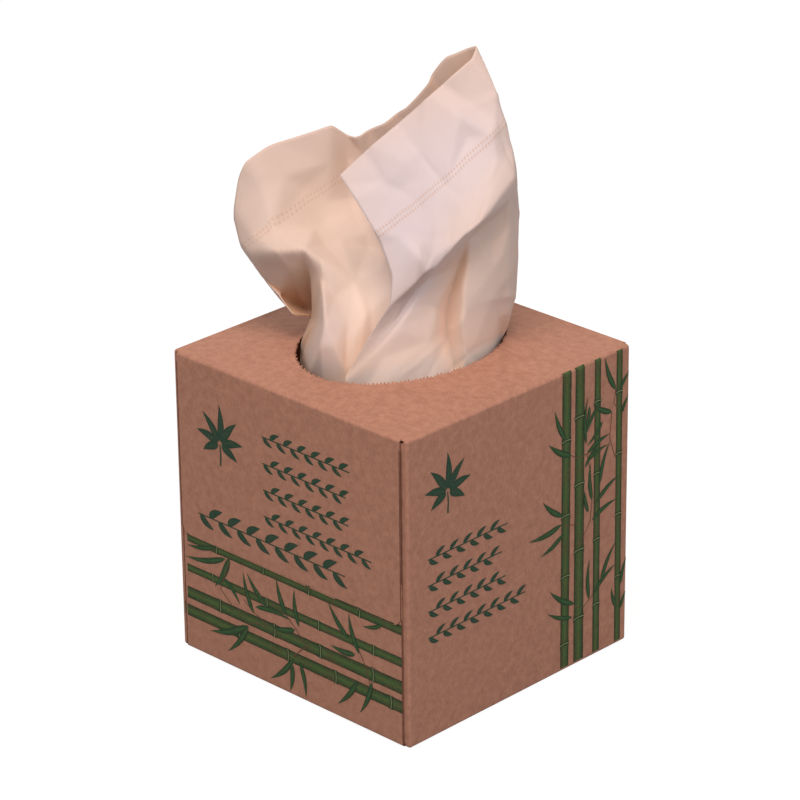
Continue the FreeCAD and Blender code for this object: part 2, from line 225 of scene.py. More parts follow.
@dataclass(frozen=True)
class CrepedTissue:
    """Soft creped tissue of warm unbleached pulp: dull, a little translucent, with two crimped rows of dots."""

    name: str = "creped_tissue_soft"
    base: str = "#D5C0B3"
    warm: str = "#D2B9A7"
    # painted light: a warm glow mixed in deep in the folds
    folded: str = "#DEAD82"
    # painted light and shade: a cooler tint where the sheet is lit coolly, and painted shade
    cool: str = "#D5C8C8"
    shaded: str = "#A98A72"
    pressed: str = "#C7A48C"
    # painted glow where light comes through thin places
    through: str = "#FFE6D8"
    fold_mm: float = 22.0
    puff_mm: float = 7.0
    crumple_mm: float = 15.0
    crumple_deep_mm: float = 0.5
    crepe_mm: float = 0.55
    crepe_deep_mm: float = 0.16
    crimp_from_edge_mm: float = 23.0
    crimp_rows_mm: float = 1.9
    crimp_pitch_mm: float = 1.5
    crimped: bool = True

    def crimp(self, m: bpy.types.Material, uv: bpy.types.Node) -> bpy.types.Node:
        """Marks the dots of the two crimped rows.

        Args:
            m: the material.
            uv: the node with the places on the flat sheet.

        Returns:
            A node that gives 1 on a dot and 0 elsewhere.
        """
        axes = add_node(m, "ShaderNodeSeparateXYZ", {0: uv})
        row = add_node(m, "ShaderNodeMapRange", {
            "Value": axes.outputs["Y"], "From Min": self.crimp_from_edge_mm,
            "From Max": self.crimp_from_edge_mm + self.crimp_rows_mm}, clamp=False)
        off_row = add_node(m, "ShaderNodeMath", {0: row, 1: 0.5}, operation="PINGPONG")
        along = add_node(m, "ShaderNodeMath", {0: axes, 1: self.crimp_pitch_mm / 2}, operation="PINGPONG")
        dots = add_node(m, "ShaderNodeMath", {0: along, 1: self.crimp_pitch_mm * 0.27}, operation="LESS_THAN")
        # only near a row, and only the rows 0 and 1
        for what, limit, side in ((off_row, 0.28, "LESS_THAN"), (row, -0.3, "GREATER_THAN"), (row, 1.3, "LESS_THAN")):
            gate = add_node(m, "ShaderNodeMath", {0: what, 1: limit}, operation=side)
            dots = add_node(m, "ShaderNodeMath", {0: dots, 1: gate}, operation="MULTIPLY")
        return dots

    def make(self) -> bpy.types.Material:
        """Builds the material. Its UV places are millimetres on the flat sheet."""
        m = new_material(self.name)
        uv = add_node(m, "ShaderNodeUVMap", uv_map="UVMap")
        puffs = add_node(m, "ShaderNodeTexNoise", {
            "Vector": uv, "Scale": 1 / self.puff_mm, "Detail": 4.0, "Roughness": 0.55})
        # painted light: deep in the folds the colour is mixed towards a warm glow, for light that has gone from layer
        # to layer
        open_air = add_node(m, "ShaderNodeAmbientOcclusion", {"Distance": self.fold_mm * MM}, samples=4)
        deep = add_node(m, "ShaderNodeMapRange", {
            "Value": open_air.outputs["AO"], "From Min": 0.95, "From Max": 0.25, "To Max": 0.75})
        # painted light: thin places glow as if light came through them, the turned-over corner is painted cooler as if
        # lit more coolly, and undersides get painted shade
        lit = add_node(m, "ShaderNodeAttribute", attribute_name="tone")
        tones = add_node(m, "ShaderNodeSeparateXYZ", {0: lit.outputs["Vector"]})
        colour: Any = linear(self.base)
        for share, tint in (
            (puffs, self.warm), (deep, self.folded), (tones.outputs["Y"], self.cool), (tones.outputs["Z"], self.shaded),
        ):
            mixed = add_node(m, "ShaderNodeMix", {0: share, 6: colour, 7: linear(tint)}, data_type="RGBA")
            colour = mixed.outputs[2]
        # crepe ridges are 0.2 mm apart; they are drawn as far apart as the picture can show
        across = add_node(m, "ShaderNodeMapping", {"Vector": uv, "Scale": (0.35, 1.0, 1.0)})
        height = add_node(m, "ShaderNodeTexNoise", {
            "Vector": across, "Scale": 1 / self.crepe_mm, "Detail": 2.0, "Roughness": 0.6})
        if self.crimped:
            dots = self.crimp(m, uv)
            half = add_node(m, "ShaderNodeMath", {0: dots, 1: 0.5}, operation="MULTIPLY")
            mixed = add_node(m, "ShaderNodeMix", {0: half, 6: colour, 7: linear(self.pressed)}, data_type="RGBA")
            colour = mixed.outputs[2]
            height = add_node(m, "ShaderNodeMath", {0: dots, 1: -4.0, 2: height}, operation="MULTIPLY_ADD")
        crumple = add_node(m, "ShaderNodeTexNoise", {
            "Vector": uv, "Scale": 1 / self.crumple_mm, "Detail": 4.0, "Roughness": 0.55, "Lacunarity": 2.3,
        }, noise_type="RIDGED_MULTIFRACTAL")
        soft = add_node(m, "ShaderNodeBump", {
            "Height": crumple, "Strength": 0.75, "Distance": self.crumple_deep_mm * MM})
        bump = add_node(m, "ShaderNodeBump", {
            "Height": height, "Normal": soft, "Strength": 0.4, "Distance": self.crepe_deep_mm * MM})
        shader = add_node(m, "ShaderNodeBsdfPrincipled", {
            "Base Color": colour, "Normal": bump, "Roughness": 0.92, "IOR": 1.4, "Specular IOR Level": 0.2,
            "Sheen Weight": 0.12, "Sheen Roughness": 0.6,
            # painted light: the sheet emits a glow where light would come through it
            "Emission Color": linear(self.through), "Emission Strength": tones})
        add_node(m, "ShaderNodeOutputMaterial", {"Surface": shader})
        return m


@dataclass(frozen=True)
class GreenInk:
    """Water-based flexographic ink on kraft: soaked in, matt, uneven over the fibres.

    The UV place is (along, across) with across 0 and 1 at the shape's edges.
    """

    name: str
    edge: str
    body: str
    light: str
    worn_to: str = "#24402A"
    bare: str = "#8A6A50"
    fibre_mm: float = 1 / 2.2

    def make(self) -> bpy.types.Material:
        """Builds the material."""
        m = new_material(self.name)
        uv = add_node(m, "ShaderNodeUVMap", uv_map="UVMap")
        # streaks run along each shape, and the ink's tone drifts slowly, as in a print of a photograph of bamboo
        streaks, drift = (
            add_node(m, "ShaderNodeTexNoise", {
                "Vector": add_node(m, "ShaderNodeMapping", {"Vector": uv, "Scale": scale}),
                "Scale": 1.0, "Detail": 3.0, "Roughness": 0.6})
            for scale in ((0.25, 9.0, 1.0), (0.11, 1.3, 1.0))
        )
        axes = add_node(m, "ShaderNodeSeparateXYZ", {0: uv})
        middle = add_node(m, "ShaderNodeMath", {0: axes.outputs["Y"], 1: 0.5}, operation="PINGPONG")
        uneven = add_node(m, "ShaderNodeMath", {0: streaks, 1: 0.35, 2: -0.17}, operation="MULTIPLY_ADD")
        depth = add_node(m, "ShaderNodeMath", {0: middle, 1: uneven}, operation="ADD")
        place = add_node(m, "ShaderNodeTexCoord").outputs["Object"]
        fibres = add_node(m, "ShaderNodeTexNoise", {"Vector": place, "Scale": 1 / (self.fibre_mm * MM), "Detail": 2.0})
        colour: Any = linear(self.edge)
        for value, start, end, most, tint in (
            (depth, 0.04, 0.22, 1.0, self.body), (depth, 0.26, 0.5, 1.0, self.light),
            (drift, 0.45, 0.72, 0.75, self.worn_to), (fibres, 0.52, 0.8, 0.4, self.bare),
        ):
            share = add_node(
                m, "ShaderNodeMapRange", {"Value": value, "From Min": start, "From Max": end, "To Max": most})
            mixed = add_node(m, "ShaderNodeMix", {0: share, 6: colour, 7: linear(tint)}, data_type="RGBA")
            colour = mixed.outputs[2]
        shader = add_node(m, "ShaderNodeBsdfPrincipled", {
            "Base Color": colour, "Roughness": 0.75, "IOR": 1.47, "Specular IOR Level": 0.35})
        add_node(m, "ShaderNodeOutputMaterial", {"Surface": shader})
        return m


# ---------------------------------------------------------------- carton


class Wall(Enum):
    """The two printed walls."""

    END = "end"
    SIDE = "side"


@dataclass
class Carton:
    """The folded carton, whose solid keeps its own shape and takes the board's finish. Its sizes are millimetres."""

    width: float = 115.0
    height: float = 117.0
    fold: float = 1.2
    opening: Pair = (66.0, 84.0)
    board: KraftBoard = KraftBoard()
    # darker board for the flaps' side gaps: the cut core, and painted shade of the gap
    core: KraftBoard = KraftBoard("kraft_cut_edge_and_painted_gap_shade", dark="#55332A", light="#643F33", fleck="#45291F")
    flap_edge: float = 54.6
    flap_heights: Pair = (0.4, 113.4)
    cut_edge: Pair = (-0.05, 0.36)
    tooth_pitch: float = 1.4
    tooth_reach: float = 0.8
    tooth_lift: float = 0.4
    tooth_thick: float = 0.5
    tooth_seed: int = 5

    def dress(self) -> bpy.types.Material:
        """Gives the carton its board and returns that material."""
        finish = self.board.make()
        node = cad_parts["carton"]
        node.data.materials.clear()
        node.data.materials.append(finish)
        return finish

    def shell(self) -> BVHTree:
        """A search tree of the carton's own surface."""
        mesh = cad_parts["carton"].data
        return BVHTree.FromPolygons([v.co.copy() for v in mesh.vertices], [tuple(p.vertices) for p in mesh.polygons])

    def flap_edges(self, shell: BVHTree) -> bpy.types.Object:
        """Adds the outer flaps' cut side edges: a dark strip over the gap beside the wall, for the board's darker cut
        core and painted shade in the gap.

        Args:
            shell: the carton's surface.

        Returns:
            The piece of all four edges.
        """
        points, faces = [], []
        heights = np.linspace(*self.flap_heights, 60)
        for end in (-1, 1):
            for side in (-1, 1):
                start = len(points)
                for z in heights:
                    outside = Vector((side * (self.flap_edge - 0.5), end * 70, z)) * MM
                    hit = shell.ray_cast(outside, Vector((0, -end, 0)))[0]
                    depth = abs(hit.y) / MM if hit is not None else self.width / 2
                    across = [side * (self.flap_edge + x) * MM for x in self.cut_edge]
                    near = [(x, end * (depth + 0.05) * MM, z * MM) for x in across]
                    points += near if side * end > 0 else near[::-1]
                faces += grid_faces(len(heights), 2, start)
        return new_piece("flap_cut_edges_and_painted_gap_shade", np.array(points), faces, self.core.make(), smooth=False)

    def tear(self, shell: BVHTree, finish: bpy.types.Material) -> bpy.types.Object:
        """Adds the torn teeth that the perforation left round the opening.

        Args:
            shell: the carton's surface.
            finish: the board's material.

        Returns:
            The piece of all the teeth.
        """
        half_x, half_y = self.opening[0] / 2, self.opening[1] / 2
        angles = np.linspace(0, 2 * math.pi, 4000, endpoint=False)
        steps = np.hypot(np.diff(half_x * np.cos(angles)), np.diff(half_y * np.sin(angles)))
        run = np.concatenate([[0], np.cumsum(steps)])
        random = np.random.default_rng(self.tooth_seed)
        points: list[Triple] = []
        faces: list[tuple[int, ...]] = []
        for k in range(int(run[-1] / self.tooth_pitch)):
            middle = (k + random.uniform(-0.12, 0.12)) * self.tooth_pitch
            wide = self.tooth_pitch * random.uniform(0.3, 0.44)
            reach = self.tooth_reach * random.uniform(0.55, 1.3)
            outline = ((-wide, -0.15), (wide, -0.15), (wide * random.uniform(0.5, 0.8), reach * 0.7),
                       (wide * random.uniform(-0.3, 0.3), reach), (-wide * random.uniform(0.5, 0.8), reach * 0.65))
            start, n = len(points), len(outline)
            for level in (0.0, -self.tooth_thick):
                for along, inward in outline:
                    a = np.interp((middle + along) % run[-1], run, angles)
                    normal = Vector((math.cos(a) / half_x, math.sin(a) / half_y, 0)).normalized()
                    rim = Vector((half_x * math.cos(a), half_y * math.sin(a), 0))
                    board_at = rim + normal * 0.4
                    hit = shell.ray_cast(Vector((board_at.x * MM, board_at.y * MM, 0.16)), Vector((0, 0, -1)))[0]
                    place = rim - normal * inward
                    rise = self.tooth_lift * max(inward, 0) / self.tooth_reach
                    points.append((place.x * MM, place.y * MM, hit.z + (level - 0.02 + rise) * MM))
            faces.append(tuple(start + i for i in range(n)))
            faces.append(tuple(start + n + i for i in reversed(range(n))))
            faces += [(start + i, start + n + i, start + n + (i + 1) % n, start + (i + 1) % n) for i in range(n)]
        return new_piece("opening_torn_teeth", np.array(points), faces, finish, smooth=False)


@dataclass(frozen=True)
class Garland:
    """A row of small leaves: its start, its length, the leaves' pitch and a leaf's length, in millimetres."""

    start: Pair
    length: float
    pitch: float = 3.4
    leaf: float = 5.4


@dataclass(frozen=True)
class Ornament:
    """What is printed on a wall, in millimetres to the right of its middle and up from the table."""

    wall: Wall
    canes: tuple[tuple[Pair, Pair, Pair, tuple[float, ...]], ...]
    leaves: tuple[tuple[Pair, Pair, float], ...]
    twigs: tuple[tuple[Pair, ...], ...]
    sprig: tuple[Pair, float]
    garlands: tuple[Garland, ...]


INKS = {
    "canes": GreenInk("flexo_ink_cane", "#16260F", "#314C26", "#46622F", worn_to="#4C4326"),
    "rings": GreenInk("flexo_ink_ring", "#76875A", "#8C9A68", "#96A270"),
    "leaves": GreenInk("flexo_ink_leaf", "#142E19", "#1E4423", "#325A2E", worn_to="#1A3620"),
    "ornament": GreenInk("flexo_ink_dark", "#153425", "#193C2A", "#1D412E"),
    "twigs": GreenInk("flexo_ink_twig", "#5E4030", "#6A4A36", "#6A4A36"),
    "shades": GreenInk("flexo_ink_shade", "#13230F", "#1B2F16", "#1F3519"),
}
LYING_CANES = Ornament(
    Wall.END,
    canes=(
        ((-54.8, 45.0), (54.5, 45.4), (3.1, 3.9), (17, 41, 64, 89)),
        ((-55.2, 32.8), (54.5, 33.0), (3.0, 3.7), (15, 43, 69, 96)),
        ((-55.6, 22.8), (54.5, 23.2), (4.7, 5.2), (19, 47, 70, 96)),
        ((-56.0, 15.5), (54.5, 15.6), (4.6, 4.9), (29, 54, 78, 105)),
    ),
    leaves=(
        ((-33, 43), (-54, 37), 3.4), ((-31, 44), (-39, 30), 4.0), ((-34, 35), (-26, 27), 2.6),
        ((-19, 26), (-24, 41), 3.0), ((-12, 31), (-22, 41), 3.2), ((-18, 29), (0, 30), 3.2),
        ((-2, 31), (-7, 44), 3.2), ((4, 29), (2, 43), 3.0), ((2, 27), (-10, 24), 3.4),
        ((-22, 20), (-42, 11), 4.2), ((-22, 20), (-33, 6), 3.2), ((1, 15), (-11, 3), 3.2),
        ((0, 13), (-1, 1.5), 3.2), ((4, 15), (7, 2), 3.0), ((29, 33), (19, 44), 3.2),
        ((34, 29), (29, 43), 3.2), ((45, 44), (36, 40.5), 2.2), ((32, 28), (20, 27.5), 3.4),
        ((33, 18), (23, 5.5), 3.0), ((40, 20), (34, 6), 3.0), ((-38, 46), (-53, 42), 2.6),
    ),
    twigs=(
        ((-30, 45), (-33, 38), (-36, 30), (-30, 25)), ((-24, 30), (-20, 27), (-12, 24)),
        ((-2, 31), (3, 27), (8, 22)), ((33, 32), (37, 25), (39, 19)), ((-22, 21), (-18, 22.5), (-12, 23)),
        ((1, 16), (5, 20), (9, 23)),
    ),
    sprig=((-33.5, 91.0), 12.2),
    garlands=(
        Garland((-12.0, 97.5), 43), Garland((-12.0, 87.3), 41), Garland((-12.0, 77.1), 42),
        Garland((-12.0, 66.9), 53), Garland((-46.0, 57.0), 74.0, 4.8, 8.2),
    ),
)
STANDING_CANES = Ornament(
    Wall.SIDE,
    canes=(
        ((23.0, 1.4), (23.2, 116.9), (4.3, 4.7), (9, 36, 60, 89)),
        ((30.5, 1.4), (30.0, 117.0), (5.2, 4.8), (17, 44, 70, 96)),
        ((39.9, 1.4), (39.3, 116.8), (3.6, 3.2), (19, 45, 71, 99)),
        ((51.6, 1.4), (50.8, 116.6), (3.2, 3.2), (26, 51, 75, 99)),
    ),
    leaves=(
        ((23, 91), (17, 104), 3.2), ((26, 84), (14, 92), 3.6), ((21.5, 62), (11, 71), 3.2),
        ((21, 59), (4, 58), 3.4), ((22, 55), (10, 50), 3.0), ((28, 25), (15, 34.5), 3.2),
        ((27, 20), (14, 26), 2.6), ((34, 82), (46, 86), 2.8), ((34, 79), (45, 82), 2.4),
        ((37, 63), (36, 78), 2.8), ((35, 59), (33, 68), 2.6), ((37, 55), (50, 59), 2.8),
        ((36, 24), (36, 40), 2.8), ((38, 25), (50, 33), 2.8), ((49, 102), (43, 116), 3.2),
        ((47, 94), (37, 100), 3.2), ((42, 92), (34, 85), 2.4), ((41, 68), (46, 83), 2.6),
        ((39, 61), (51, 68), 2.8), ((42, 28), (50, 42), 2.8), ((51, 15), (48, 24), 2.4),
        ((53, 14), (56, 20), 2.2), ((53, 24), (56.3, 34), 2.2), ((51, 101), (56.2, 107), 2.4),
        ((35, 100), (33, 92), 2.2), ((33.5, 86), (34, 104), 2.2), ((33, 77), (40, 84), 2.0),
        ((52.5, 92), (55.8, 98), 2.0), ((33, 90), (42, 101), 2.4),
    ),
    twigs=(
        ((26, 84), (29, 82), (34, 82)), ((34, 82), (36, 74), (37, 63)), ((37, 63), (36, 55), (30, 47)),
        ((22, 58), (26, 57), (30, 56)), ((28, 24), (33, 22), (38, 25)), ((47, 94), (46, 84), (49, 76)),
        ((49, 102), (48, 97), (50.5, 94)), ((51, 15), (52, 20), (53, 24)),
    ),
    sprig=((-37.0, 95.0), 11.8),
    garlands=(
        Garland((-47.0, 69.5), 40), Garland((-47.0, 59.5), 37), Garland((-47.0, 49.5), 39),
        Garland((-47.0, 39.5), 49),
    ),
)


@dataclass
class Print:
    """Puts ornaments on the carton: canes with their joints, leaves, twigs, sprigs and rows of small leaves."""

    shell: BVHTree
    carton: Carton
    lift: float = 0.05
    leaf_lift: float = 0.05
    leaf_step: float = 0.004
    twig_half: float = 0.16
    twig_lift: float = 0.06
    ring_half: float = 0.15
    ring_lift: float = 0.04
    shade_half: float = 0.24
    shade_lift: float = 0.03
    stem_half: float = 0.24

    def on_wall(self, wall: Wall, along: float, up: float, raised: float = 0.0) -> Triple:
        """Finds a place on the board's surface.

        Args:
            wall: which wall.
            along: millimetres from the wall's middle, to the right as one looks at it.
            up: millimetres up the board from the table, over the top fold if that is higher.
            raised: extra millimetres off the board.

        Returns:
            The place in metres, lifted by the ink's own height.
        """
        half, fold = self.carton.width / 2, self.carton.fold
        turn_at = self.carton.height - fold
        arc = min(max(up - turn_at, 0.0), fold * math.pi / 2) / fold
        over = max(up - turn_at - fold * math.pi / 2, 0.0)
        outward = Vector((math.cos(arc), 0, math.sin(arc)))
        core = Vector((half - fold - over, 0, min(up, turn_at)))
        start = core + outward * (fold + 8)
        place = Vector((start.x, along, start.z))
        if wall is Wall.END:
            place = Vector((along, -start.x, start.z))
            outward = Vector((0, -outward.x, outward.z))
        hit = self.shell.ray_cast(place * MM, -outward)[0]
        if hit is None:
            hit = (place - outward * 8) * MM
        return tuple(hit + outward * (self.lift + raised) * MM)

    def strip(self, wall: Wall, spine: Sequence[Pair], half: Any, columns: int, raised: float) -> Shape:
        """A ribbon of ink along a line on a wall.

        Args:
            wall: which wall.
            spine: places (along, up) in millimetres.
            half: the ribbon's half width, one for all places or one for each.
            columns: points across it.
            raised: extra millimetres off the board.

        Returns:
            Points, faces and UV places.
        """
        line = np.array(spine, float)
        halves = np.broadcast_to(half, len(line))
        heading = np.gradient(line, axis=0)
        heading /= np.linalg.norm(heading, axis=1)[:, None]
        side = np.stack([-heading[:, 1], heading[:, 0]], 1)
        run = np.concatenate([[0], np.cumsum(np.linalg.norm(np.diff(line, axis=0), axis=1))])
        points, uvs = [], []
        for k, place in enumerate(line):
            for share in np.linspace(0, 1, columns):
                flat = place + side[k] * (-halves[k] + share * 2 * halves[k])
                points.append(self.on_wall(wall, float(flat[0]), float(flat[1]), raised))
                uvs.append((run[k], share))
        faces = grid_faces(len(line), columns)
        # the ribbon's faces look out of the wall
        a, b, c = (Vector(points[i]) for i in faces[0][:3])
        outward = Vector((1, 0, 0)) if wall is Wall.SIDE else Vector((0, -1, 0))
        if (b - a).cross(c - a).dot(outward) < 0:
            faces = [tuple(reversed(f)) for f in faces]
        return np.array(points), faces, np.array(uvs)

    def leaf(
        self, wall: Wall, base: Pair, tip: Pair, width: float, raised: float = 0.0, bend: float = 0.06
    ) -> Shape:
        """A lance-shaped leaf from its stalk to its point."""
        a, b = np.array(base, float), np.array(tip, float)
        side = np.array([-(b - a)[1], (b - a)[0]])
        steps = np.linspace(0, 1, 11)
        spine = [tuple(a + (b - a) * t + side * bend * math.sin(math.pi * t)) for t in steps]
        half = [width / 2 * 2.05 * (t**0.6) * (1 - t) ** 1.1 + 0.03 for t in steps]
        return self.strip(wall, spine, half, 3, raised)

    def merge(self, name: str, parts: Iterable[Shape], ink: GreenInk) -> bpy.types.Object:
        """Joins shapes of one ink into a piece."""
        points, faces, uvs, count = [], [], [], 0
        for p, f, uv in parts:
            faces += [tuple(i + count for i in face) for face in f]
            points.append(p)
            uvs.append(uv)
            count += len(p)
        return new_piece(name, np.concatenate(points), faces, ink.make(), np.concatenate(uvs))

    def cane(
        self, wall: Wall, start: Pair, end: Pair, widths: Pair, joints: Sequence[float]
    ) -> tuple[Shape, list[Shape], list[Shape]]:
        """A cane with its joints.

        Args:
            wall: which wall.
            start: its first place (along, up).
            end: its last place.
            widths: its width at the two ends.
            joints: how far along it each joint is, in millimetres.

        Returns:
            The cane, the pale rings at its joints, and the dark lines beside them.
        """
        a, b = np.array(start, float), np.array(end, float)
        length = float(np.linalg.norm(b - a))
        bent = np.arange(length - 7, length, 0.35) if end[1] > self.carton.height - 2 else []
        near_joints = [[j - 1.6, j - 0.5, j, j + 0.5, j + 1.6] for j in joints]
        stations = np.round(np.concatenate([np.arange(0, length, 2.0), [length], bent, *near_joints]), 2)
        stations = [s for s in sorted(set(stations)) if 0 <= s <= length]
        flare = [max([0.0, *[1 - abs(s - j) / 1.8 for j in joints]]) for s in stations]
        width = [widths[0] + (widths[1] - widths[0]) * s / length for s in stations]
        half = [w / 2 * (1 + 0.14 * f) for w, f in zip(width, flare)]
        body = self.strip(wall, [tuple(a + (b - a) * s / length) for s in stations], half, 7, 0.0)
        direction = (b - a) / length
        across = np.array([-direction[1], direction[0]])
        rings, shades = [], []
        for j in joints:
            if not 1 < j < length - 1:
                continue
            h = (widths[0] + (widths[1] - widths[0]) * j / length) / 2 * 1.1
            bow = [a + direction * j + across * h * t + direction * 0.35 * (1 - t * t) for t in np.linspace(-1, 1, 7)]
            rings.append(self.strip(wall, bow, self.ring_half, 2, self.ring_lift))
            for away in (-0.5, 0.45):
                beside = [place + direction * away for place in bow]
                shades.append(self.strip(wall, beside, self.shade_half, 2, self.shade_lift))
        return body, rings, shades

    def garland(self, wall: Wall, row: Garland) -> list[Shape]:
        """A row of small leaves on a thin stem, one up and one down in turn."""
        left, level = row.start
        stem = [(left + x, level) for x in np.linspace(0, row.length, 24)]
        shapes = [self.strip(wall, stem, self.stem_half, 2, 0.0)]
        for k in range(int(row.length / row.pitch)):
            x = left + (k + 0.2) * row.pitch
            up = 1 if k % 2 else -1
            base, tip = (x, level + up * 0.1), (x + row.leaf * 0.86, level + up * row.leaf * 0.52)
            shapes.append(self.leaf(wall, base, tip, row.leaf * 0.5, self.leaf_step * (k + 1), 0.08 * up))
        return shapes

    def sprig(self, wall: Wall, middle: Pair, reach: float) -> list[Shape]:
        """A fan of leaves on a short stalk."""
        foot = (middle[0], middle[1] - reach * 0.95)
        heart = (middle[0], middle[1] - reach * 0.25)
        knee = ((foot[0] + heart[0]) / 2 + 0.3, (foot[1] + heart[1]) / 2)
        shapes = [self.strip(wall, [foot, knee, heart], (0.4, 0.35, 0.25), 3, 0.0)]
        for degrees, share in ((90, 1.25), (50, 1.1), (130, 1.1), (12, 0.98), (168, 0.98), (-28, 0.8), (208, 0.8)):
            c, s = math.cos(math.radians(degrees)), math.sin(math.radians(degrees))
            base = (heart[0] + 0.9 * c, heart[1] + 0.9 * s)
            tip = (heart[0] + reach * share * c, heart[1] + reach * share * s)
            bend = 0.05 if degrees < 90 else -0.05
            shapes.append(self.leaf(wall, base, tip, reach * 0.38, 0.02 * (len(shapes) - 1), bend))
        return shapes

    def build(self, ornament: Ornament) -> list[bpy.types.Object]:
        """Prints a wall.

        Args:
            ornament: what is printed on it.

        Returns:
            Its pieces, one to an ink.
        """
        wall = ornament.wall
        canes = [self.cane(wall, *cane) for cane in ornament.canes]
        shapes = {
            "canes": [body for body, _, _ in canes],
            "rings": [ring for _, rings, _ in canes for ring in rings],
            "leaves": [
                self.leaf(wall, *leaf, self.leaf_lift + self.leaf_step * k) for k, leaf in enumerate(ornament.leaves)
            ],
            "ornament": self.sprig(wall, *ornament.sprig) + [
                shape for row in ornament.garlands for shape in self.garland(wall, row)
            ],
            "twigs": [self.strip(wall, line, self.twig_half, 2, self.twig_lift) for line in ornament.twigs],
            "shades": [shade for _, _, shades in canes for shade in shades],
        }
        return [self.merge(f"print_{wall.value}_{what}", shapes[what], ink) for what, ink in INKS.items()]


# ---------------------------------------------------------------- tissues


@dataclass
class TissueClip:
    """The clip of interfolded tissues, bent over in an arch, with its many folded layers at the two sides."""

    outside: float = 56.0
    thickness: float = 32.0
    half_width: float = 52.0
    spring: float = 37.67
    foot: float = 0.5
    layers: int = 22
    flat_half: float = 44.0
    edge: float = 0.5
    seed: int = 11

    def build(self, finish: bpy.types.Material) -> bpy.types.Object:
        """Makes one closed, slightly uneven arch for each folded tissue.

        Args:
            finish: the tissue's material.

        Returns:
            The piece, which stands for the clip's solid.
        """
        random = np.random.default_rng(self.seed)
        pitch = self.thickness / self.layers
        arcs = np.concatenate([np.full(5, -1.0), np.linspace(-1, 1, 49)[1:-1], np.full(5, 1.0)])
        drops = np.concatenate([np.linspace(1, 0, 5), np.zeros(47), np.linspace(0, 1, 5)])
        points, faces, uvs = [], [], []
        for layer in range(self.layers):
            middle = self.outside - pitch * (layer + 0.5)
            edges = [self.half_width - random.uniform(0.1, 1.6) for _ in range(2)]
            wave = random.uniform(0, 2 * math.pi, 3)
            thick = pitch * 0.43
            start = len(points)
            low_end, high_end, flat = -edges[0] + self.edge, edges[1] - self.edge, self.flat_half
            ring = [(-edges[0], 0.0), (low_end, thick), *[(y, thick) for y in np.linspace(-flat, flat, 9)],
                    (high_end, thick), (edges[1], 0.0), (high_end, -thick),
                    *[(y, -thick) for y in np.linspace(flat, -flat, 9)], (low_end, -thick)]
            for arc, drop in zip(arcs, drops):
                a = arc * math.pi / 2
                low = self.foot + 0.1 if abs(arc) == 1 else self.spring
                for y, off in ring:
                    ripple = 0.22 * math.sin(y / 9 + wave[0] + 2.2 * a) * math.cos(a * 3 + wave[1])
                    r = middle + off + (min(ripple, 0.12 * pitch) if off > 0 else 0.0)
                    z = self.spring + r * math.cos(a) if drop == 0 else self.spring - drop * (self.spring - low)
                    shift = 0.35 * math.sin(4 * a + wave[2]) * (1 if abs(y) > 45 else 0)
                    points.append((r * math.sin(a) * MM, (y + shift) * MM, z * MM))
                    uvs.append((y + 60.0, r * a + 100.0 + (1 - drop) * 30))
            n = len(ring)
            for i in range(len(arcs) - 1):
                here, there = start + i * n, start + (i + 1) * n
                faces += [(here + j, here + (j + 1) % n, there + (j + 1) % n, there + j) for j in range(n)]
            faces.append(tuple(start + j for j in reversed(range(n))))
            faces.append(tuple(start + (len(arcs) - 1) * n + j for j in range(n)))
        piece = new_piece("clip_of_folded_tissues", np.array(points), faces, finish, np.array(uvs))
        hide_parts("tissue_stack")
        return piece


@dataclass(frozen=True)
class Fold:
    """A fold line on the flat sheet: places (u, v) in millimetres and how far each comes forward there."""

    line: tuple[Triple, ...]


@dataclass(frozen=True)
class Push:
    """A soft shift of part of the sheet: its place (u, v), its reach and the shift (across, lift, forward)."""

    at: Pair
    reach: float
    move: Triple


class Tone(Enum):
    """Light and shade painted into the sheet's colour: a glow where light comes through it, a cooler tint, or painted
    shade where light is kept off.
    """

    THROUGH = 0
    COOL = 1
    SHADE = 2


@dataclass(frozen=True)
class Glow:
    """A soft spot of painted light or shade on the flat sheet: its place (u, v), its reach and its share."""

    tone: Tone
    at: Pair
    reach: float
    share: float


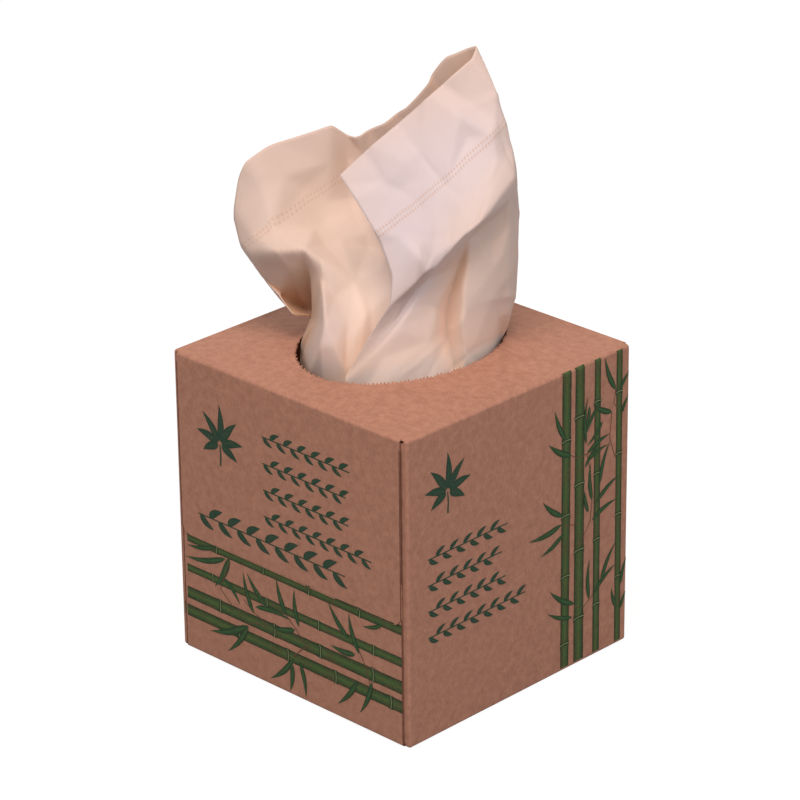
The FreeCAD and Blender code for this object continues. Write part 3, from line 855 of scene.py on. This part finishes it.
@dataclass
class TissueSheet:
    """One tissue, laid along a net of places, then pushed, folded into soft facets and faintly dented, as paper is."""

    name: str
    node: str
    flat: Pair
    cells: tuple[int, int]
    above: Sequence[Sequence[Triple]]
    on_clip: Sequence[Sequence[Triple]]
    pleats: tuple[int, float, float] = (0, 0.0, 0.0)
    folds: tuple[Fold, ...] = ()
    pushes: tuple[Push, ...] = ()
    glows: tuple[Glow, ...] = ()
    crimp_at: float = 24.0
    crimp_line: tuple[Pair, ...] = ((0.0, 24.0),)
    facet_mm: float = 13.0
    facet_share: float = 0.85
    facet_jitter: float = 0.9
    facet_blur: float = 0.5
    facet_fade: float = 12.0
    wrinkle_fade: float = 10.0
    wrinkle: float = 0.7
    creases: int = 90
    seen_from: float = 24.06
    thickness: float = 0.3
    top: float = 117.0
    turn: float = 44.5
    clip_radius: float = 56.0
    clip_spring: float = 37.67
    lay_gap: float = 0.8
    seed: int = 3

    def turned(self, across: np.ndarray, toward: np.ndarray, up: np.ndarray) -> np.ndarray:
        """Turns (across, toward, up) into the part's own directions."""
        c, s = math.cos(math.radians(self.turn)), math.sin(math.radians(self.turn))
        return np.stack([across * c + toward * s, across * s - toward * c, up], -1)

    def net(self) -> np.ndarray:
        """The net's places in millimetres, rows down from the leading edge."""
        a = np.array(self.above, float)
        high = self.turned(a[..., 0], a[..., 1], a[..., 2] + self.top)
        b = np.array(self.on_clip, float)
        r = self.clip_radius + self.lay_gap + b[..., 2]
        t = b[..., 0] / self.clip_radius
        low = np.stack([r * np.sin(t), b[..., 1], self.clip_spring + r * np.cos(t)], -1)
        return np.concatenate([high, low])

    @staticmethod
    def blend(poles: int, samples: int) -> np.ndarray:
        """Weights of a clamped cubic spline.

        Args:
            poles: how many poles it has.
            samples: how many places are wanted, evenly along it.

        Returns:
            samples by poles weights.
        """
        knots = np.concatenate([[0.0] * 3, np.linspace(0, 1, poles - 2), [1.0] * 3])
        t = np.linspace(0, 1, samples)
        w = np.zeros((samples, poles + 3))
        for i in range(poles + 3):
            if i + 1 < len(knots):
                w[:, i] = (knots[i] <= t) & (t < knots[i + 1])
        w[-1, :] = 0
        w[-1, poles - 1] = 1
        for degree in range(1, 4):
            for i in range(poles + 3 - degree):
                left = knots[i + degree] - knots[i]
                right = knots[min(i + degree + 1, len(knots) - 1)] - knots[min(i + 1, len(knots) - 1)]
                a = (t - knots[i]) / left if left > 0 else 0
                b = (knots[min(i + degree + 1, len(knots) - 1)] - t) / right if right > 0 else 0
                w[:, i] = a * w[:, i] + b * w[:, min(i + 1, w.shape[1] - 1)]
        return w[:, :poles]

    def laid(self) -> tuple[np.ndarray, np.ndarray]:
        """Lays the flat sheet's grid along the net.

        Returns:
            The grid's places, and for each place how far it is above the end of the net in millimetres
            (negative where the sheet goes on in pleats on the clip).
        """
        net = self.net()
        fine = (181, 261)  # rows and columns of the spline, before the sheet's own grid is laid on it
        s = np.einsum("ir,jc,rcx->ijx", self.blend(net.shape[0], fine[0]), self.blend(net.shape[1], fine[1]), net)
        across = np.concatenate([[0], np.cumsum(np.linalg.norm(np.diff(s, axis=1), axis=-1).mean(0))])
        nu, nv = self.cells[0] + 1, self.cells[1] + 1
        at = np.interp(np.linspace(0, across[-1], nu), across, np.arange(fine[1]))
        low = np.clip(at.astype(int), 0, fine[1] - 2)
        part = (at - low)[None, :, None]
        s = s[:, low] * (1 - part) + s[:, low + 1] * part
        run = np.concatenate([np.zeros((1, nu)), np.cumsum(np.linalg.norm(np.diff(s, axis=0), axis=-1), 0)])
        seen = run[-1]
        down = np.linspace(0, self.flat[1], nv)
        side = np.gradient(s[-1], axis=0)
        side = np.stack([side[:, 1], -side[:, 0], 0 * side[:, 0]], 1)
        side /= np.linalg.norm(side, axis=1)[:, None]
        grid = np.zeros((nv, nu, 3))
        count, tall, apart = self.pleats
        for j in range(nu):
            reach = seen[j] if count else self.flat[1]
            scaled = run[:, j] * (reach / seen[j])
            for k in range(3):
                grid[:, j, k] = np.interp(np.minimum(down, reach), scaled, s[:, j, k])
            if count:
                h = np.clip((down - reach) / max(self.flat[1] - reach, 1e-6), 0, 1) * 2 * count
                grid[:, j, 2] += tall * (0.5 - 0.5 * np.cos(np.pi * h))
                grid[:, j] += (apart * h)[:, None] * side[j]
        left = (seen[None] if count else np.full((1, nu), self.flat[1] + 20.0)) - down[:, None]
        return grid, left

    @staticmethod
    def normals(grid: np.ndarray) -> np.ndarray:
        """Unit normals of a grid of places."""
        n = np.cross(np.gradient(grid, axis=0), np.gradient(grid, axis=1))
        return n / (np.linalg.norm(n, axis=-1, keepdims=True) + 1e-9)

    def flat_places(self) -> tuple[np.ndarray, np.ndarray]:
        """The grid's places u and v on the flat sheet."""
        u = np.linspace(0, self.flat[0], self.cells[0] + 1)
        v = np.linspace(0, self.flat[1], self.cells[1] + 1)
        return np.meshgrid(u, v)

    def near_to(self, at: Pair, reach: float) -> np.ndarray:
        """How near each grid place is to a place (u, v) of the flat sheet: 1 there, and less beyond its reach."""
        u, v = self.flat_places()
        return np.exp(-((u - at[0]) ** 2 + (v - at[1]) ** 2) / (2 * reach**2))

    def forward(self, across: Any, lift: Any, near: Any) -> np.ndarray:
        """Turns a shift (across, lift, forward) of the tilted front view into the part's own directions."""
        c, t = math.cos(math.radians(self.seen_from)), math.sin(math.radians(self.seen_from))
        return self.turned(np.asarray(across, float), near * c - lift * t, near * t + lift * c)

    def pushed(self, grid: np.ndarray) -> np.ndarray:
        """The grid with its soft pushes."""
        shaped = grid.copy()
        for push in self.pushes:
            shaped += self.near_to(push.at, push.reach)[..., None] * self.forward(*push.move)
        return shaped

    def facet_corners(self) -> tuple[list[Triple], list[tuple[int, int]]]:
        """Corners (u, v, forward) of the sheet's facets, along its folds and scattered between them.

        Returns:
            The corners, and the pairs of them that a fold joins.
        """
        random = np.random.default_rng(self.seed)
        corners: list[Triple] = []
        joined: list[tuple[int, int]] = []
        for fold in self.folds:
            joined += [(len(corners) + i, len(corners) + i + 1) for i in range(len(fold.line) - 1)]
            corners += list(fold.line)
        nu, nv = (max(2, round(side / self.facet_mm)) for side in self.flat)
        for i in range(nu + 1):
            for j in range(nv + 1):
                inside_u, inside_v = 0 < i < nu, 0 < j < nv
                u = self.flat[0] / nu * (i + (random.uniform(-0.38, 0.38) if inside_u else 0))
                v = self.flat[1] / nv * (j + (random.uniform(-0.38, 0.38) if inside_v else 0))
                room = min([99.0, *[math.dist((u, v), c[:2]) for c in corners]])
                if room > (0.55 * self.facet_mm if inside_u and inside_v else 1.0):
                    corners.append((u, v, random.uniform(-1, 1) * self.facet_jitter))
        return corners, joined

    def facetted(self, grid: np.ndarray, left: np.ndarray) -> np.ndarray:
        """The grid made flatter between its folds, as paper is.

        Args:
            grid: the smooth places.
            left: how far each place is above the end of the net.

        Returns:
            The folded places.
        """
        corners, joined = self.facet_corners()
        places, _, faces, origins, *_ = delaunay_2d_cdt([Vector(c[:2]) for c in corners], joined, [], 0, 1e-4)
        step = (self.flat[0] / self.cells[0], self.flat[1] / self.cells[1])
        u, v = self.flat_places()
        flat = grid.copy()
        near = np.zeros(u.shape)
        for face in faces:
            tri = np.array([places[i] for i in face])
            rise = np.array([corners[origins[i][0]][2] if origins[i] else 0.0 for i in face])
            held = []
            for a, b in tri:
                i, j = b / step[1], a / step[0]
                i0, j0 = min(int(i), self.cells[1] - 1), min(int(j), self.cells[0] - 1)
                p = grid[i0 : i0 + 2, j0 : j0 + 2]
                p = p[:, 0] * (1 - (j - j0)) + p[:, 1] * (j - j0)
                held.append(p[0] * (1 - (i - i0)) + p[1] * (i - i0))
            cols, rows = (
                slice(max(0, math.floor(tri[:, k].min() / step[k])), math.ceil(tri[:, k].max() / step[k]) + 1)
                for k in (0, 1)
            )
            uu, vv = u[rows, cols], v[rows, cols]
            (x0, y0), (x1, y1), (x2, y2) = tri
            area = (x1 - x0) * (y2 - y0) - (x2 - x0) * (y1 - y0)
            if abs(area) < 1e-6:
                continue
            w1 = ((uu - x0) * (y2 - y0) - (x2 - x0) * (vv - y0)) / area
            w2 = ((x1 - x0) * (vv - y0) - (uu - x0) * (y1 - y0)) / area
            w = np.stack([1 - w1 - w2, w1, w2], -1)
            inside = (w > -1e-6).all(-1)
            flat[rows, cols][inside] = (w @ np.array(held))[inside]
            near[rows, cols][inside] = (w @ rise)[inside]
        free = np.clip(left / self.facet_fade, 0, 1)[..., None]
        shaped = grid + free * (self.facet_share * (flat - grid) + self.forward(0.0, 0.0, near))
        return np.stack([self.blurred(shaped[..., k], self.facet_blur) for k in range(3)], -1)

    def wrinkled(self, grid: np.ndarray, left: np.ndarray) -> np.ndarray:
        """The grid with faint random dents, as handled paper has."""
        random = np.random.default_rng(self.seed)
        u, v = self.flat_places()
        dents = np.zeros(u.shape)
        for _ in range(self.creases):
            angle, span = random.uniform(0, math.pi), random.uniform(6, 26)
            cu, cv = random.uniform(0, self.flat[0]), random.uniform(0, self.flat[1])
            along = (u - cu) * math.cos(angle) + (v - cv) * math.sin(angle)
            off = -(u - cu) * math.sin(angle) + (v - cv) * math.cos(angle) + 0.012 * along**2 * random.uniform(-1, 1)
            deep, wide = random.uniform(-1, 1), random.uniform(0.9, 2.4)
            dents += deep * np.exp(-np.abs(off) / wide) * np.exp(-((along / span) ** 2))
        fade = np.clip(left / self.wrinkle_fade, 0, 1)
        return grid + (self.wrinkle * dents * fade)[..., None] * self.normals(grid)

    @staticmethod
    def blurred(values: np.ndarray, sigma: float) -> np.ndarray:
        """Values blurred over their neighbours."""
        reach = int(3 * sigma)
        kernel = np.exp(-0.5 * (np.arange(-reach, reach + 1) / sigma) ** 2)
        kernel /= kernel.sum()
        for axis in (0, 1):
            padded = np.pad(values, [(reach, reach) if a == axis else (0, 0) for a in (0, 1)], mode="edge")
            span = np.arange(values.shape[axis])
            values = sum(w * np.take(padded, span + i, axis=axis) for i, w in enumerate(kernel))
        return values

    def shape(self) -> np.ndarray:
        """The finished grid in millimetres."""
        grid, left = self.laid()
        return self.wrinkled(self.facetted(self.pushed(grid), left), left)

    def build(self, finish: bpy.types.Material) -> bpy.types.Object:
        """Makes the sheet's piece.

        Args:
            finish: the tissue's material.

        Returns:
            The piece, which stands for the node's solid.
        """
        grid = self.shape()
        u, flat_v = self.flat_places()
        line = np.array(self.crimp_line)
        v = flat_v - np.interp(u, line[:, 0], line[:, 1]) + self.crimp_at
        rows, columns = grid.shape[:2]
        piece = new_piece(
            self.name, grid.reshape(-1, 3) * MM, grid_faces(rows, columns), finish,
            np.stack([u.ravel(), v.ravel()], 1),
        )
        tones = np.zeros((u.size, 3), np.float32)
        for g in self.glows:
            tones[:, g.tone.value] += (g.share * self.near_to(g.at, g.reach)).ravel().astype(np.float32)
        held = piece.data.attributes.new("tone", "FLOAT_VECTOR", "POINT")
        held.data.foreach_set("vector", np.clip(tones, 0, 1).ravel())
        solid = piece.modifiers.new("puff", "SOLIDIFY")
        solid.thickness = self.thickness * MM
        solid.offset = 0.0
        apply_modifiers(piece)
        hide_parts(self.node)
        return piece


RAISED_ABOVE = (
    # leading edge: turned-over corner, peak, back, left lobe and its curled tip
    ((-21, 9, 68), (-9, 4, 78), (4, 0, 87), (18, -5, 99), (31, -10, 108), (22, -17, 106), (9, -22, 89),
     (-2, -27, 75), (-22, -28, 72), (-40, -24, 71), (-58, -12, 68), (-59, -14, 36), (-40, -18, 17)),
    # crimped line
    ((-7, 18, 49), (3, 14, 57), (14, 10, 64), (23, 6, 72), (38, 0, 87), (36, -14, 82), (21, -24, 65),
     (4, -28, 54), (-19, -27, 53), (-35, -18, 46), (-48, -6, 41), (-52, 4, 36), (-42, 2, 22)),
    # above the turned-over corner's fold
    ((-2, 26, 36), (8, 27, 45), (19, 23, 54), (30, 18, 62), (42, 6, 72), (40, -12, 65), (23, -26, 47),
     (5, -28, 39), (-16, -24, 38), (-32, -10, 38), (-40, 2, 40), (-41, 6, 34), (-37, 4, 21)),
    # the fold's lip, which overhangs the front, and the lobe's lip
    ((-3, 30, 29), (8, 34, 39), (17, 35, 48), (32, 28, 61), (43, 10, 67), (42, -10, 58), (24, -26, 35),
     (7, -26, 30), (-14, -18, 34), (-29, -2, 37), (-32, 4, 36), (-36, 6, 29), (-35, 1, 17)),
    # under the lip
    ((-7, 28, 23), (5, 24, 32), (15, 16, 40), (28, 10, 51), (41, 2, 57), (42, -8, 52), (25, -24, 31),
     (8, -22, 26), (-12, -10, 32), (-27, 4, 34), (-29, 1, 29), (-32, 2, 22), (-30, -8, 13)),
    # the front's valley and ridge
    ((-13, 32, 14), (-3, 31, 22), (15, 15, 29), (27, 22, 45), (41, 3, 41), (43, -8, 35), (26, -22, 20),
     (10, -16, 19), (-10, 0, 24), (-27, 14, 25), (-28, 7, 19), (-31, 1, 12), (-27, -12, 7)),
    ((-20, 33, 7), (-8, 33, 10), (15, 16, 14), (26, 24, 25), (40, 3, 23), (42, -8, 18), (27, -20, 7),
     (11, -8, 10), (-10, 18, 14), (-26, 26, 13), (-29, 18, 7), (-34, 5, 3), (-33, -7, 0)),
    # in the opening
    ((-20, 34, -3), (-4, 34, -3), (16, 20, -2), (27, 17, -2), (35, 1, -1), (35, -12, -2), (22, -12, -3),
     (6, 0, -4), (-10, 22, -4), (-23, 31, -4), (-30, 25, -4), (-33, 10, -6), (-30, -4, -7)),
    ((-17, 28, -15), (-4, 29, -15), (13, 18, -15), (23, 15, -15), (30, 1, -14), (31, -10, -14), (19, -11, -15),
     (5, -2, -16), (-9, 17, -16), (-20, 25, -16), (-26, 20, -16), (-28, 8, -17), (-26, -4, -17)),
)
RAISED_ON_CLIP = (
    ((22, -38, 0), (30, -26, 0), (33, -10, 0), (34, 6, 0), (29, 22, 0), (20, 29, 0), (11, 24, 0),
     (6, 6, 0), (9, -17, 0), (5, -33, 0), (-5, -37, 0), (-15, -32, 0), (-21, -20, 0)),
)
RAISED_FOLDS = tuple(
    Fold(line) for line in (
        ((206, 3, 1.5), (206, 9, 3.0), (199, 25, 4.6), (190, 40, 5.2), (186, 48, 3.4)),  # the left lobe's lip
        ((208, 13, -1.5), (203, 28, -4.0), (195, 42, -5.0)),  # the hollow that goes back under that lip
        ((211, 12, -5), (216, 21, -13), (213, 33, -19), (205, 45, -17)),
        ((192, 53, -2.0), (195, 61, -6.0), (200, 66, -7.0)),  # behind the front's left edge
        ((200, 54, -5.0), (206, 58, 0.5), (212, 55, -3.0), (220, 60, 1.0)),  # crumpled part in the opening's left end
        ((206, 66, -7.0), (211, 63, -1.5), (220, 69, -5.0)),
        ((186, 48, 2.8), (187, 60, 2.4), (186, 71, 2.2), (190, 76, 2.6), (201, 75, 3.0)),  # the front's left edge
        ((206, 3, 1.0), (193, 25, 1.6), (181, 34, 2.0), (162, 37, 1.4)),  # ridge across the lobe
        ((172, 40, 0.3), (161, 46, -3.6), (150, 48, -0.6)),  # dent beside the turned-over corner
        ((160, 40, 1.2), (148, 43, 1.4)),
        ((190, 50, -0.5), (180, 64, -2.4), (174, 75, -2.4), (177, 92, -1.4)),  # fold down the front's left part
        ((170, 60, 0.8), (166, 74, 1.6), (170, 90, 0.6)),
        ((45, 0, 1.4), (54, 14, 2.6), (65, 27, 0.8)),  # crease under the peak
        ((50, 0, -0.6), (59, 12, -1.0), (69, 24, 0.0)),
        ((88, 0, 0), (87, 14, 0)),
        ((98, 0, 0), (97, 14, 0.6)),
        ((78, 36, 0), (74, 45, 0.6), (50, 52, 0.8), (37, 70, 0.8), (20, 78, 0.8), (0, 82, 0.4)),  # the corner's fold
        ((43, 73, -1.5), (40, 82, -4.6), (39, 93, -6.0), (43, 109, -5.0)),  # valley in the front's right part
        ((36, 80, 0.4), (33, 92, 0.8), (35, 108, 0.6)),
        ((49, 74, 1.6), (47, 84, 2.8), (46, 94, 3.2), (48, 108, 2.4)),  # ridge beside it
        ((56, 72, -0.6), (53, 86, 0.2), (52, 108, 0.4)),
        ((62, 60, -0.8), (60, 70, -2.0), (61, 80, -1.0)),  # hollow under the turned-over corner
        ((62, 90, -1.0), (67, 99, -2.6), (80, 114, -1.6)),  # gather at the opening's right end
        ((71, 66, 0.8), (72, 84, 1.4), (76, 100, 1.6)),
        ((80, 44, 0), (81, 60, 0.4), (83, 78, 0.6), (83, 92, 0.4), (81, 106, 0)),  # the right outline
        ((165, 0, 1.4), (168, 12, 1.8), (172, 26, 0.8)),  # from the lobe's top corner
        ((157, 0, -2.0), (160, 12, -1.8), (163, 26, -0.6)),
        ((151, 0, 0.4), (152, 12, 0.8)),
        ((139, 0, 0.6), (141, 14, -0.6)),
        ((186, 0, 0.6), (185, 13, 1.4), (180, 19, 0.2)),
        ((192, 0, 1.2), (190, 12, 1.4)),
        ((200, 0, 0), (201, 12, 0.8)),
        ((132, 0, -1.0), (133, 12, -0.8)),
        ((127, 0, 1.0), (124, 14, 1.2)),
        ((108, 0, -0.8), (110, 14, -1.0)),
        ((0, 22, 0), (9, 32, 1.0), (19, 50, 1.2), (25, 64, 0)),  # soft creases of the turned-over corner
        ((16, 39, -1.2), (14, 50, -1.4), (19, 60, -1.6), (29, 57, -0.6)),
        ((22, 47, 0.8), (26, 55, 1.2)),
        ((16, 0, 0.5), (24, 12, 0.9), (28, 20, 0)),
    )
)
RAISED_PUSHES = tuple(
    Push(at, reach, move) for at, reach, move in (
        ((207, 3), 6.0, (-3.8, -2.0, 0.0)),  # the lobe's lower corner
        ((199, 8), 5.0, (1.0, 0.0, 0.0)),
        ((214, 14), 5.0, (-2.0, -1.8, 0.0)),
        ((219, 26), 7.0, (-2.4, -4.0, 0.0)),
        ((212, 40), 7.0, (0.0, -5.0, 0.0)),
        ((208, 59), 7.0, (-3.0, 0.0, 0.0)),
        ((206, 72), 7.0, (-3.2, 0.0, 0.0)),
        ((83, 100), 7.0, (1.6, 0.0, 0.0)),
        ((79, 14), 10.0, (1.3, 0.3, 0.0)),
        ((79, 44), 5.0, (-0.8, 0.0, 0.0)),
        ((153, 0), 5.0, (0.0, -4.3, 0.0)),  # the notch in the leading edge
        ((137, 0), 6.0, (0.0, -2.0, 0.0)),
        ((165, 0), 3.0, (0.0, 1.4, 0.0)),
        ((180, 0), 7.0, (0.4, -1.3, 0.0)),
        ((193, 0), 3.0, (-0.8, 0.3, 0.0)),
        ((102, 0), 5.0, (-2.0, 1.6, 0.0)),  # the peak's back edge
        ((120, 0), 5.0, (0.9, -1.4, 0.0)),
        ((131, 0), 2.5, (0.0, 1.2, 0.0)),
    )
)
# painted light and shade of the raised sheet: glow where light comes through, cooler tint, painted shade
RAISED_GLOWS = tuple(
    Glow(tone, (u, v), reach, share)
    for tone, spots in (
        (Tone.THROUGH, (
            (167, 42, 15.0, 0.26), (160, 68, 11.0, 0.36), (172, 30, 10.0, 0.06),  # beside the turned-over corner
            (22, 80, 12.0, 0.07), (36, 95, 12.0, 0.08), (56, 88, 12.0, 0.06),  # the front
            (182, 94, 9.0, 0.03), (166, 92, 9.0, 0.10), (12, 88, 9.0, 0.13),  # along the opening
            (30, 104, 9.0, 0.14), (46, 112, 9.0, 0.14), (64, 112, 9.0, 0.11),
        )),
        (Tone.COOL, (
            (8, 18, 18.0, 0.6), (34, 22, 18.0, 0.6), (60, 28, 14.0, 0.5),  # the turned-over corner
            (12, 48, 13.0, 0.7), (22, 66, 8.0, 0.5),
            (182, 74, 8.0, 0.35),  # the front's left part
        )),
        (Tone.SHADE, (
            (11, 54, 9.0, 0.45), (20, 24, 10.0, 0.12), (178, 68, 9.0, 0.26),
            (204, 36, 6.5, 0.45), (196, 45, 4.5, 0.45),  # under the lobe's lip
            (212, 26, 5.0, 0.3), (208, 17, 4.0, 0.25),
            (196, 56, 5.0, 0.5), (207, 57, 8.0, 0.7),
        )),
    )
    for u, v, reach, share in spots
)
CRIMP_LINE = (
    (0, 24.6), (8, 25.6), (15, 26.1), (21, 26.8), (37, 27.3), (45, 28), (61, 28.1), (71, 27.3), (110, 24), (150, 20),
    (166, 18.3), (172, 20.6), (177, 22.6), (182, 23.7), (187, 23.8), (191, 23.2), (195, 20.6), (200, 14.6), (207, 4),
    (211, 11), (220, 20),
)
NEXT_ABOVE = (
    ((-24, -15, 0), (-20, -15, 2), (-17, -22, -1), (-10, -19, 1), (-6, -25, -2), (2, -21, 1), (6, -26, 0),
     (14, -22, 2), (18, -25, -1)),
    ((-25, -16, -12), (-21, -16, -11), (-17, -22, -12), (-11, -20, -12), (-6, -24, -12), (1, -22, -11),
     (6, -25, -12), (13, -22, -11), (18, -24, -12)),
)
NEXT_ON_CLIP = (
    ((-31, -8, 1), (-28, 0, 1), (-28, 6, 1), (-22, 10, 1), (-21, 18, 1), (-14, 20, 1), (-12, 28, 1),
     (-5, 29, 1), (-2, 36, 1)),
    ((-46, -14, 0), (-44, -2, 0), (-42, 8, 0), (-38, 16, 0), (-34, 24, 0), (-28, 31, 0), (-21, 37, 0),
     (-12, 42, 0), (-4, 47, 0)),
)


# ---------------------------------------------------------------- stage


@dataclass(frozen=True)
class Lamp:
    """A large soft area lamp that looks at the box: place and size in metres, power in watts."""

    name: str
    at: Triple
    size: float
    power: float
    colour: str

    def hang(self) -> None:
        """Adds the lamp."""
        data = bpy.data.lights.new(self.name, "AREA")
        data.shape, data.size, data.energy = "DISK", self.size, self.power
        data.color = linear(self.colour)[:3]
        lamp = add_object(self.name, data)
        lamp.location = self.at
        lamp.rotation_euler = (Vector((0, 0, 0.12)) - Vector(self.at)).to_track_quat("-Z", "Y").to_euler()


@dataclass
class Studio:
    """The white sweep, the plain soft light and the camera at the photograph's place."""

    camera_at: Triple = (0.86122, -0.87644, 0.64496)
    right: Triple = (0.71575, 0.69829, -0.00947)
    up: Triple = (-0.27853, 0.29787, 0.91307)
    back: Triple = (0.64041, -0.65089, 0.40769)
    focal_px: float = 3794.7
    frame_px: float = 800.0
    sensor_mm: float = 36.0
    clip: Pair = (0.05, 20.0)
    floor_half: float = 6.0
    floor_drop: float = 0.0002
    floor_glow: float = 1.07
    floor_glow_share: float = 0.86
    room_colour: tuple[float, float, float, float] = (1.0, 0.96, 0.92, 1)
    room_strength: float = 0.27
    lamps: tuple[Lamp, ...] = (
        Lamp("soft_box_overhead", (0.24, -0.28, 0.88), 0.42, 4.3, "#FFEADA"),
        Lamp("soft_box_left", (0.0, -1.45, 1.25), 0.8, 9.6, "#EAEEFF"),
        Lamp("soft_box_right", (1.47, 0.0, 1.2), 0.8, 10.6, "#E6EBFF"),
        Lamp("soft_box_back", (-1.5, 1.3, 0.75), 0.9, 8.5, "#FFF0E6"),
    )

    def aim(self) -> None:
        """Puts the camera in its place."""
        data = bpy.data.cameras.new("photo_camera")
        data.sensor_width = self.sensor_mm
        data.lens = self.focal_px / self.frame_px * self.sensor_mm
        data.clip_start, data.clip_end = self.clip
        camera = add_object("photo_camera", data)
        axes = Matrix((self.right, self.up, self.back)).transposed().to_4x4()
        camera.matrix_world = Matrix.Translation(self.camera_at) @ axes
        bpy.context.scene.camera = camera

    def sweep(self) -> None:
        """Adds the white card floor, which keeps the carton's soft shadow and is seen brighter than it reflects."""
        m = new_material("white_sweep_card")
        seen = add_node(m, "ShaderNodeLightPath").outputs["Is Camera Ray"]
        tone = add_node(m, "ShaderNodeMix", {0: seen, 6: linear("#A8A6A4"), 7: linear("#F7F6F5")}, data_type="RGBA")
        card = add_node(m, "ShaderNodeBsdfPrincipled", {"Base Color": tone.outputs[2], "Roughness": 0.9})
        glow = add_node(m, "ShaderNodeEmission", {"Color": (1, 1, 1, 1), "Strength": self.floor_glow})
        share = add_node(m, "ShaderNodeMath", {0: seen, 1: self.floor_glow_share}, operation="MULTIPLY")
        mixed = add_node(m, "ShaderNodeMixShader", {0: share, 1: card, 2: glow})
        add_node(m, "ShaderNodeOutputMaterial", {"Surface": mixed})
        mesh = bpy.data.meshes.new("floor")
        corners = [(x * self.floor_half, y * self.floor_half, 0) for x, y in ((-1, -1), (1, -1), (1, 1), (-1, 1))]
        mesh.from_pydata(corners, [], [(0, 1, 2, 3)])
        mesh.materials.append(m)
        floor = add_object("floor", mesh)
        floor.location.z = -self.floor_drop

    def light(self) -> None:
        """Lights the box plainly: a soft room, white to the eye, and four large lamps above, left, right and behind."""
        world = bpy.data.worlds.new("soft_room")
        world.use_nodes = True
        world.node_tree.nodes.clear()
        path = add_node(world, "ShaderNodeLightPath")
        seen = path.outputs["Is Camera Ray"]
        for ray in ("Is Glossy Ray", "Is Transmission Ray"):
            seen = add_node(world, "ShaderNodeMath", {0: seen, 1: path.outputs[ray]}, operation="MAXIMUM")
        room = add_node(world, "ShaderNodeBackground", {"Color": self.room_colour, "Strength": self.room_strength})
        white = add_node(world, "ShaderNodeBackground", {"Color": (1, 1, 1, 1), "Strength": 1.0})
        mixed = add_node(world, "ShaderNodeMixShader", {0: seen, 1: room, 2: white})
        add_node(world, "ShaderNodeOutputWorld", {"Surface": mixed})
        bpy.context.scene.world = world
        for lamp in self.lamps:
            lamp.hang()

    def build(self) -> None:
        """Builds the whole stage."""
        self.aim()
        self.sweep()
        self.light()
        bpy.context.scene.view_settings.view_transform = "Standard"


def report(*pieces: bpy.types.Object) -> None:
    """Logs pieces with their number of faces."""
    for piece in pieces:
        LOG.info("%s: %d faces", piece.name, len(piece.data.polygons))


def main() -> None:
    """Builds every piece in order and reports it."""
    logging.basicConfig(level=logging.INFO, format="%(name)s: %(message)s")
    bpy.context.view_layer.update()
    carton = Carton()
    board = carton.dress()
    shell = carton.shell()
    report(carton.tear(shell, board))
    report(carton.flap_edges(shell))
    printed = Print(shell, carton)
    for ornament in (LYING_CANES, STANDING_CANES):
        report(*printed.build(ornament))
    folded = CrepedTissue("creped_tissue_folded", base="#DCC7B7", warm="#D8BFAA", crimped=False)
    report(TissueClip().build(folded.make()))
    raised = TissueSheet(
        "raised_tissue_sheet", "raised_tissue", flat=(220.0, 200.0), cells=(196, 178),
        above=RAISED_ABOVE, on_clip=RAISED_ON_CLIP, pleats=(3, 13.0, 1.2), folds=RAISED_FOLDS,
        pushes=RAISED_PUSHES, glows=RAISED_GLOWS, crimp_line=CRIMP_LINE,
    )
    report(raised.build(CrepedTissue().make()))
    following = TissueSheet(
        "next_tissue_sheet", "next_tissue", flat=(72.0, 40.0), cells=(90, 50), above=NEXT_ABOVE,
        on_clip=NEXT_ON_CLIP, wrinkle=0.25, creases=16, facet_mm=9.0, facet_share=0.5, seed=8,
    )
    report(following.build(CrepedTissue("creped_tissue_uncrimped", crimped=False).make()))
    Studio().build()


if __name__ == "__main__":
    main()
